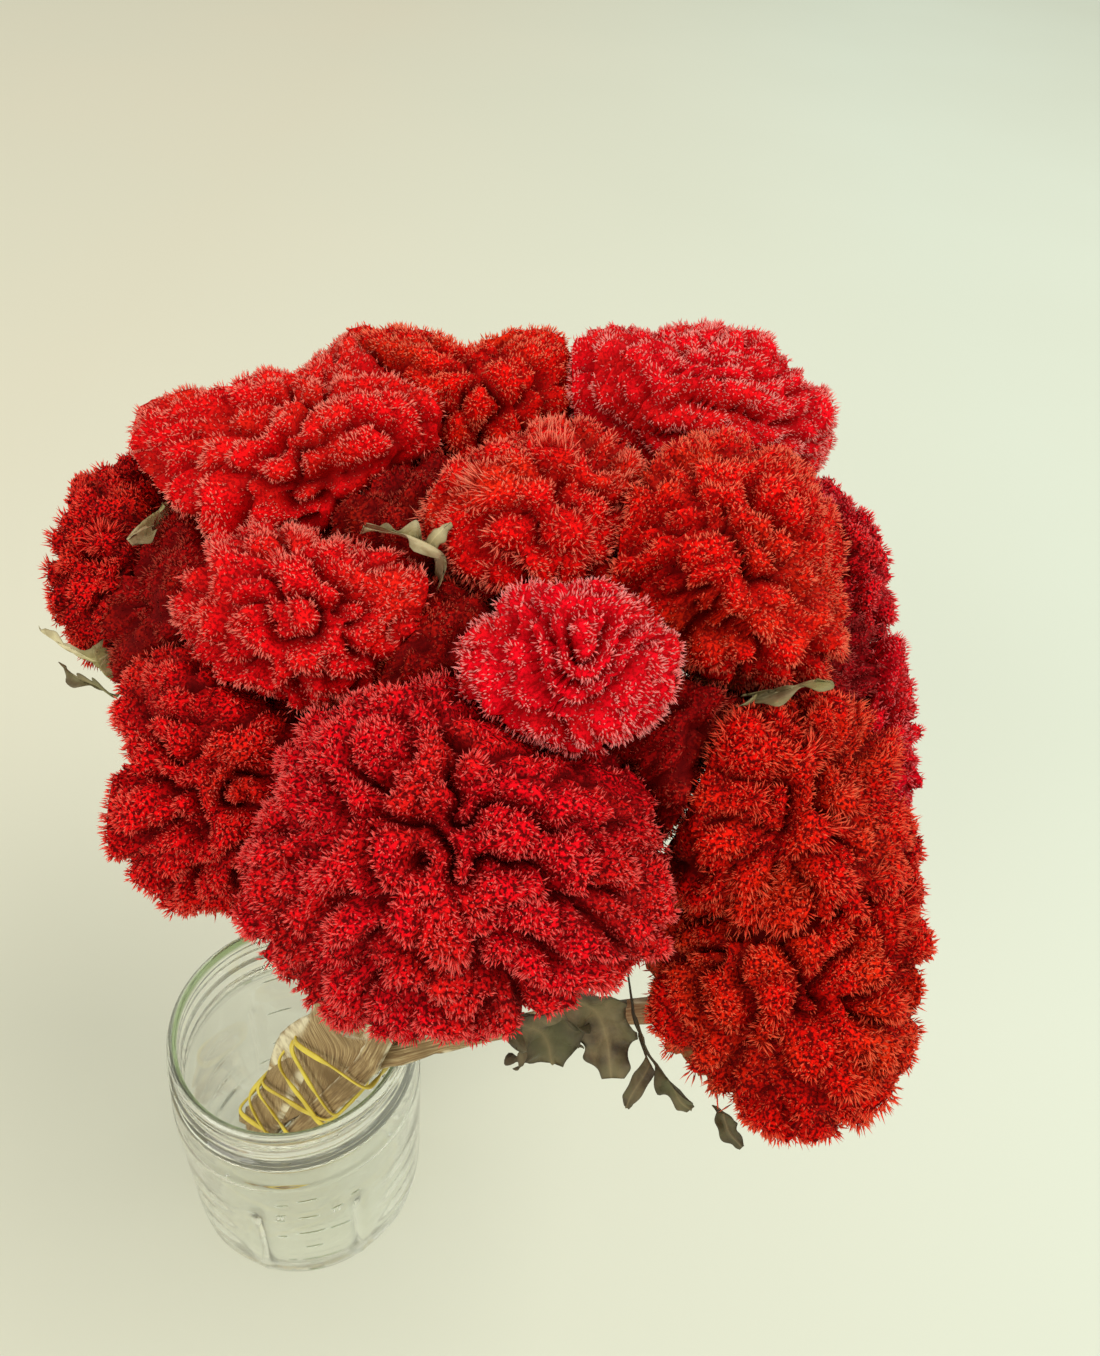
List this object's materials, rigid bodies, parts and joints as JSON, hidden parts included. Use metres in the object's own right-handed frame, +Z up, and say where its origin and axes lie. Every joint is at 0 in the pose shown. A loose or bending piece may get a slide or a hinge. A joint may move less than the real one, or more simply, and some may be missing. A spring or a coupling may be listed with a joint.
{
  "type": "dried cockscomb celosia bunch in a glass jar",
  "caption": "Dried bunch of cockscomb celosia with velvety crimson and orange-red crests, held by rubber bands and leaning in a clear glass canning jar.",
  "frame": {"origin": "the middle of the jar's flat underside", "axes": "+Z up along the jar, the bunch leans towards +X, and the picture looks towards +Y and down"},
  "size_m": [0.2475, 0.2099, 0.3401],
  "materials": {
    "glass": "gloss",
    "celosia": "matte",
    "stem": "matte",
    "leaf": "matte",
    "band": "satin"
  },
  "bodies": {
    "root": {"band_lower": "band", "band_lower_slanted": "band", "band_middle": "band", "band_upper": "band", "crest_centre": "celosia", "crest_centre_right": "celosia", "crest_far_left": "celosia", "crest_front": "celosia", "crest_front_upper": "celosia", "crest_inner_far_left": "celosia", "crest_inner_far_right": "celosia", "crest_inner_front": "celosia", "crest_inner_left": "celosia", "crest_inner_side": "celosia", "crest_left_front": "celosia", "crest_left_middle": "celosia", "crest_right_back": "celosia", "crest_right_edge_lower": "celosia", "crest_right_edge_upper": "celosia", "crest_right_front_lower": "celosia", "crest_right_front_upper": "celosia", "crest_top_middle": "celosia", "crest_top_right": "celosia", "crest_upper_left": "celosia", "glass_jar": "glass", "leaf_curled_tip": "leaf", "leaf_dark_broad": "leaf", "leaf_dark_hanging": "leaf", "leaf_dark_side": "leaf", "leaf_far_left_curled": "leaf", "leaf_far_left_low": "leaf", "leaf_left_pale": "leaf", "leaf_olive_curled": "leaf", "leaf_pale_crinkled": "leaf", "leaf_pale_tip": "leaf", "leaf_under_right": "leaf", "stem_centre": "stem", "stem_centre_right": "stem", "stem_far_left": "stem", "stem_front": "stem", "stem_left_front": "stem", "stem_right_back": "stem", "stem_right_front_lower": "stem", "stem_right_front_upper": "stem", "stem_top_middle": "stem", "stem_top_right": "stem", "stem_upper_left": "stem"}
  },
  "joints": []
}
